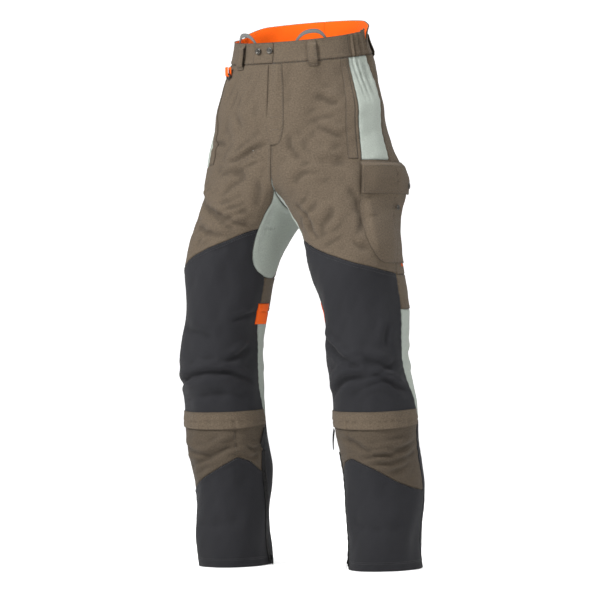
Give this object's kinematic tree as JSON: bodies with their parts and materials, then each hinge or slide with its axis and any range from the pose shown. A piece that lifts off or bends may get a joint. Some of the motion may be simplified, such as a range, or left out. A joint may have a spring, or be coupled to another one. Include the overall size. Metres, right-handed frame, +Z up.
{
  "type": "protective work trousers",
  "caption": "Forestry protective trousers with pre-bent padded knees, stretch panels, cargo pocket, elastic waist with press studs and zipped leg ends.",
  "frame": {"origin": "centre of the waist opening at the front waistband's top edge", "axes": "+Z up towards the wearer's head, -Y the wearer's front, +X the wearer's left"},
  "size_m": [0.4803, 0.2663, 1.0429],
  "materials": {
    "brown_cloth": "matt twill weave",
    "charcoal_cloth": "matt abrasion-resistant weave",
    "grey_stretch_cloth": "fine four-way stretch weave",
    "orange_cloth": "brushed lining",
    "orange_webbing": "ribbed webbing",
    "grey_tape": "ribbed tape",
    "lining_cloth": "mesh lining",
    "insert_fibre": "layered fibre batting",
    "foam": "closed-cell foam",
    "stud_metal": "brushed grey metal",
    "zip_tape": "woven tape",
    "zip_metal": "black satin",
    "black_webbing": "ribbed webbing",
    "black_plastic": "moulded"
  },
  "bodies": {
    "hips": {"waistband_front_left": "brown_cloth", "waistband_front_right": "brown_cloth", "waistband_back": "brown_cloth", "waistband_lining": "orange_cloth", "waist_elastic_left": "brown_cloth", "waist_elastic_right": "brown_cloth", "press_studs": "stud_metal", "belt_loops": "brown_cloth", "brace_loops": "grey_tape", "ring_loop": "orange_webbing", "hip_lining": "lining_cloth", "fly_placket": "brown_cloth", "fly_zip_tape": "zip_tape", "hand_pocket_bags": "lining_cloth", "front_panel_left": "brown_cloth", "front_panel_right": "brown_cloth", "side_stretch_left": "grey_stretch_cloth", "side_stretch_right": "grey_stretch_cloth", "seat_panel_left": "brown_cloth", "seat_panel_right": "brown_cloth", "gusset_left": "grey_stretch_cloth", "gusset_right": "grey_stretch_cloth", "pocket_welt_left": "brown_cloth", "pocket_welt_right": "brown_cloth"},
    "d_ring": {"d_ring": "black_plastic"},
    "fly_slider": {"fly_zip_slider": "zip_metal"},
    "thigh_left": {"thigh_lining_left": "lining_cloth", "cut_insert_left": "insert_fibre", "knee_panel_left": "charcoal_cloth", "knee_back_left": "grey_stretch_cloth", "thigh_back_left": "brown_cloth", "inseam_tab_left": "orange_cloth", "knee_pad_left": "foam", "cargo_pocket": "brown_cloth", "pocket_stud": "stud_metal"},
    "shin_left": {"knee_band_left": "brown_cloth", "shin_upper_left": "brown_cloth", "leg_end_left": "charcoal_cloth", "calf_panel_left": "charcoal_cloth", "leg_zip_left": "zip_tape"},
    "pull_tab_left": {"pull_tab_left": "black_webbing"},
    "leg_zip_slider_left": {"leg_zip_slider_left": "zip_metal"},
    "thigh_right": {"thigh_lining_right": "lining_cloth", "cut_insert_right": "insert_fibre", "knee_panel_right": "charcoal_cloth", "knee_back_right": "grey_stretch_cloth", "thigh_back_right": "brown_cloth", "inseam_tab_right": "orange_cloth", "knee_pad_right": "foam"},
    "shin_right": {"knee_band_right": "brown_cloth", "shin_upper_right": "brown_cloth", "leg_end_right": "charcoal_cloth", "calf_panel_right": "charcoal_cloth", "leg_zip_right": "zip_tape"},
    "pull_tab_right": {"pull_tab_right": "black_webbing"},
    "leg_zip_slider_right": {"leg_zip_slider_right": "zip_metal"},
    "cargo_flap": {"cargo_flap": "brown_cloth", "flap_stud": "stud_metal"}
  },
  "joints": [
    {"name": "hip_left", "type": "hinge", "parent": "hips", "child": "thigh_left", "pos_m": [0.1, -0.035, -0.23], "axis": [-1, 0, 0], "range_deg": [-10, 60], "deforming": ["front_panel_left", "side_stretch_left", "seat_panel_left", "gusset_left", "pocket_welt_left", "hand_pocket_bags", "cut_insert_left"]},
    {"name": "knee_left", "type": "hinge", "parent": "thigh_left", "child": "shin_left", "pos_m": [0.16, -0.045, -0.583], "axis": [1, 0, 0], "range_deg": [0, 100], "deforming": ["knee_panel_left", "knee_back_left", "thigh_back_left", "inseam_tab_left", "knee_pad_left"]},
    {"name": "hip_right", "type": "hinge", "parent": "hips", "child": "thigh_right", "pos_m": [-0.1, -0.035, -0.23], "axis": [-1, 0, 0], "range_deg": [-10, 60], "deforming": ["front_panel_right", "side_stretch_right", "seat_panel_right", "gusset_right", "pocket_welt_right", "hand_pocket_bags", "cut_insert_right"]},
    {"name": "knee_right", "type": "hinge", "parent": "thigh_right", "child": "shin_right", "pos_m": [-0.16, -0.045, -0.583], "axis": [1, 0, 0], "range_deg": [0, 100], "deforming": ["knee_panel_right", "knee_back_right", "thigh_back_right", "inseam_tab_right", "knee_pad_right"]},
    {"name": "flap_hinge", "type": "hinge", "parent": "thigh_left", "child": "cargo_flap", "pos_m": [0.208, -0.005, -0.231], "axis": [-0.042, -0.9991, 0], "range_deg": [0, 115]},
    {"name": "ring_swing", "type": "hinge", "parent": "hips", "child": "d_ring", "pos_m": [-0.11297, -0.08202, -0.05289], "axis": [-0.7766, 0.63, 0], "range_deg": [0, 120]},
    {"name": "fly_zip", "type": "slide", "parent": "hips", "child": "fly_slider", "axis": [0, -0.0945, -0.9955], "range_m": [0, 0.1]},
    {"name": "leg_zip_left", "type": "slide", "parent": "shin_left", "child": "leg_zip_slider_left", "axis": [-0.0318, -0.083, 0.996], "range_m": [0, 0.19]},
    {"name": "pull_tab_left", "type": "hinge", "parent": "shin_left", "child": "pull_tab_left", "pos_m": [0.09252, -0.06335, -0.737], "axis": [-0.3121, 0.826, -0.4695], "range_deg": [0, 75]},
    {"name": "leg_zip_right", "type": "slide", "parent": "shin_right", "child": "leg_zip_slider_right", "axis": [0.0312, -0.1591, 0.9868], "range_m": [0, 0.19]},
    {"name": "pull_tab_right", "type": "hinge", "parent": "shin_right", "child": "pull_tab_right", "pos_m": [-0.08612, -0.01529, -0.737], "axis": [0.0521, -0.8814, 0.4695], "range_deg": [0, 75]}
  ]
}
